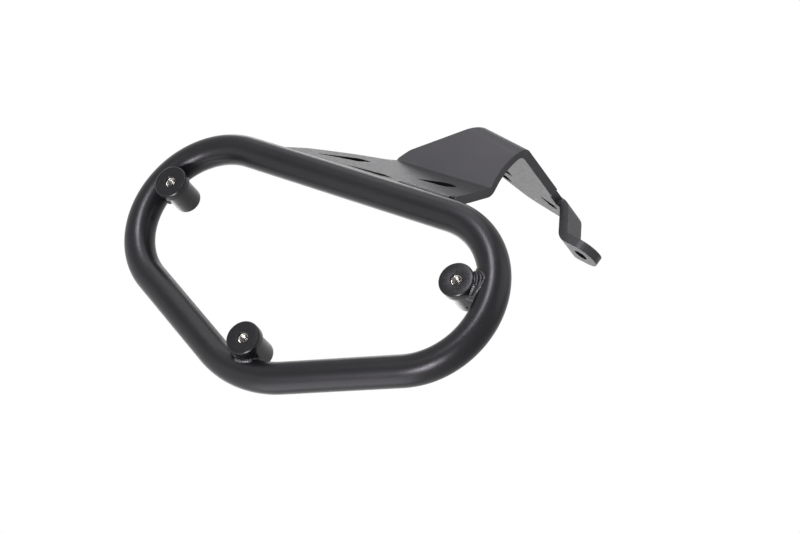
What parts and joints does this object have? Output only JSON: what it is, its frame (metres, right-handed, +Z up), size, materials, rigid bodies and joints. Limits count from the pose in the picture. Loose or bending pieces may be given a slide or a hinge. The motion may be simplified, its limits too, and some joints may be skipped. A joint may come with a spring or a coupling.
{
  "type": "motorcycle pannier frame",
  "caption": "Side pannier frame for a motorbike: a bent black steel tube loop with threaded bosses inside it, welded to a folded, slotted carrier plate that ends in a bolt eye.",
  "frame": {"origin": "The centre of the grab rail eye's hole, halfway through the plate.", "axes": "+X runs forward along the level crest of the carrier plate, +Y points inboard towards the bike and +Z points up, square to the eye and the top panel."},
  "size_m": [0.2514, 0.1388, 0.209],
  "materials": {
    "coated_tube": "satin",
    "coated_plate": "satin",
    "coated_boss": "satin",
    "coated_weld": "satin",
    "bare_thread": "brushed"
  },
  "bodies": {
    "root": {"tube_loop": "coated_tube", "carrier_plate": "coated_plate", "boss_rear": "coated_boss", "boss_front": "coated_boss", "boss_lower": "coated_boss", "stub_rear": "coated_boss", "stub_front": "coated_boss", "weld_rear": "coated_weld", "weld_front": "coated_weld", "weld_lower": "coated_weld", "weld_shelf_top": "coated_weld", "weld_shelf_under_front": "coated_weld", "weld_shelf_under_rear": "coated_weld"}
  },
  "joints": []
}
